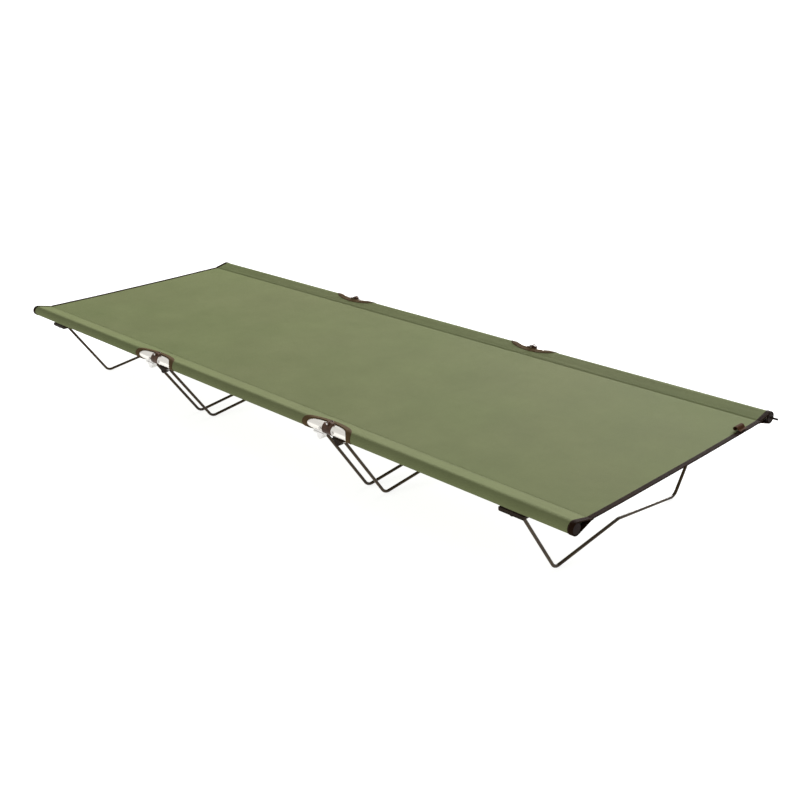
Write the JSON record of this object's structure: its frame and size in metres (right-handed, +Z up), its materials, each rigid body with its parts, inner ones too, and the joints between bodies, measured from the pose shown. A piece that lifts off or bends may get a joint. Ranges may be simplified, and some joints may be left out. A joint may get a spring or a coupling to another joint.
{
  "type": "folding cot",
  "caption": "Low tri-fold camp cot: tensioned cloth on two hinged aluminium rails, standing on bent wire legs that turn up under it.",
  "frame": {"origin": "on the floor, under the middle of the bed", "axes": "+X along the bed towards the end with the tape tab, +Y across it, +Z up"},
  "size_m": [1.913, 0.6766, 0.1991],
  "materials": {
    "bed_cloth": "olive green coated plain weave",
    "binding_tape": "near-black brown woven binding tape",
    "rim_tape": "brown woven tape round the cut-outs",
    "label_tape": "dark brown woven tape, blank",
    "rail_aluminium": "bright satin drawn tube",
    "hinge_nylon": "dark brown moulded nylon",
    "bracket_nylon": "near-black moulded nylon",
    "bracket_alloy": "bright cast aluminium alloy",
    "black_plastic": "black moulded plastic",
    "spring_wire": "dark bronze painted spring steel wire",
    "rivet_steel": "plain steel"
  },
  "bodies": {
    "middle_section": {"rail_middle_near": "rail_aluminium", "hinge_tongue_left_near": "hinge_nylon", "hinge_clevis_right_near": "hinge_nylon", "hinge_pin_left_near": "rivet_steel", "hinge_pin_right_near": "rivet_steel", "leg_bracket_middle_left_near": "bracket_nylon", "leg_bracket_middle_right_near": "bracket_alloy", "rail_middle_far": "rail_aluminium", "hinge_tongue_left_far": "hinge_nylon", "hinge_clevis_right_far": "hinge_nylon", "hinge_pin_left_far": "rivet_steel", "hinge_pin_right_far": "rivet_steel", "leg_bracket_middle_left_far": "bracket_nylon", "leg_bracket_middle_right_far": "bracket_alloy", "bracket_rivets_middle": "rivet_steel", "hinge_rivets_middle": "rivet_steel", "cloth_middle": "bed_cloth", "cutout_binding_middle": "rim_tape"},
    "left_section": {"rail_left_near": "rail_aluminium", "end_plug_left_near": "black_plastic", "hinge_clevis_left_near": "hinge_nylon", "leg_bracket_left_outer_near": "bracket_nylon", "leg_bracket_left_inner_near": "bracket_alloy", "rail_left_far": "rail_aluminium", "end_plug_left_far": "black_plastic", "hinge_clevis_left_far": "hinge_nylon", "leg_bracket_left_outer_far": "bracket_nylon", "leg_bracket_left_inner_far": "bracket_alloy", "bracket_rivets_left": "rivet_steel", "hinge_rivets_left": "rivet_steel", "cloth_left": "bed_cloth", "cutout_binding_left": "rim_tape", "end_binding_left": "binding_tape"},
    "right_section": {"rail_right_near": "rail_aluminium", "end_plug_right_near": "black_plastic", "hinge_tongue_right_near": "hinge_nylon", "leg_bracket_right_inner_near": "bracket_nylon", "leg_bracket_right_outer_near": "bracket_nylon", "rail_right_far": "rail_aluminium", "end_plug_right_far": "black_plastic", "hinge_tongue_right_far": "hinge_nylon", "leg_bracket_right_inner_far": "bracket_nylon", "leg_bracket_right_outer_far": "bracket_nylon", "bracket_rivets_right": "rivet_steel", "hinge_rivets_right": "rivet_steel", "cloth_right": "bed_cloth", "cutout_binding_right": "rim_tape", "end_binding_right": "binding_tape", "label_tab": "label_tape"},
    "leg_left_outer": {"leg_wire_left_outer": "spring_wire"},
    "leg_left_inner": {"leg_wire_left_inner": "spring_wire"},
    "leg_middle_left": {"leg_wire_middle_left": "spring_wire"},
    "leg_middle_right": {"leg_wire_middle_right": "spring_wire"},
    "leg_right_inner": {"leg_wire_right_inner": "spring_wire"},
    "leg_right_outer": {"leg_wire_right_outer": "spring_wire"}
  },
  "joints": [
    {"name": "fold_right", "type": "hinge", "parent": "middle_section", "child": "right_section", "pos_m": [0.32, 0, 0.1956], "axis": [0, -1, 0], "range_deg": [0, 180]},
    {"name": "fold_left", "type": "hinge", "parent": "middle_section", "child": "left_section", "pos_m": [-0.32, 0, 0.1956], "axis": [0, 1, 0], "range_deg": [0, 105]},
    {"name": "turn_leg_left_outer", "type": "hinge", "parent": "left_section", "child": "leg_left_outer", "pos_m": [-0.806, 0, 0.166], "axis": [0, -1, 0], "range_deg": [0, 90]},
    {"name": "turn_leg_left_inner", "type": "hinge", "parent": "left_section", "child": "leg_left_inner", "pos_m": [-0.347, 0, 0.16], "axis": [0, 1, 0], "range_deg": [0, 90]},
    {"name": "turn_leg_middle_left", "type": "hinge", "parent": "middle_section", "child": "leg_middle_left", "pos_m": [-0.293, 0, 0.16], "axis": [0, -1, 0], "range_deg": [0, 90]},
    {"name": "turn_leg_middle_right", "type": "hinge", "parent": "middle_section", "child": "leg_middle_right", "pos_m": [0.293, 0, 0.16], "axis": [0, 1, 0], "range_deg": [0, 90]},
    {"name": "turn_leg_right_inner", "type": "hinge", "parent": "right_section", "child": "leg_right_inner", "pos_m": [0.347, 0, 0.16], "axis": [0, -1, 0], "range_deg": [0, 90]},
    {"name": "turn_leg_right_outer", "type": "hinge", "parent": "right_section", "child": "leg_right_outer", "pos_m": [0.806, 0, 0.166], "axis": [0, 1, 0], "range_deg": [0, 90]}
  ]
}
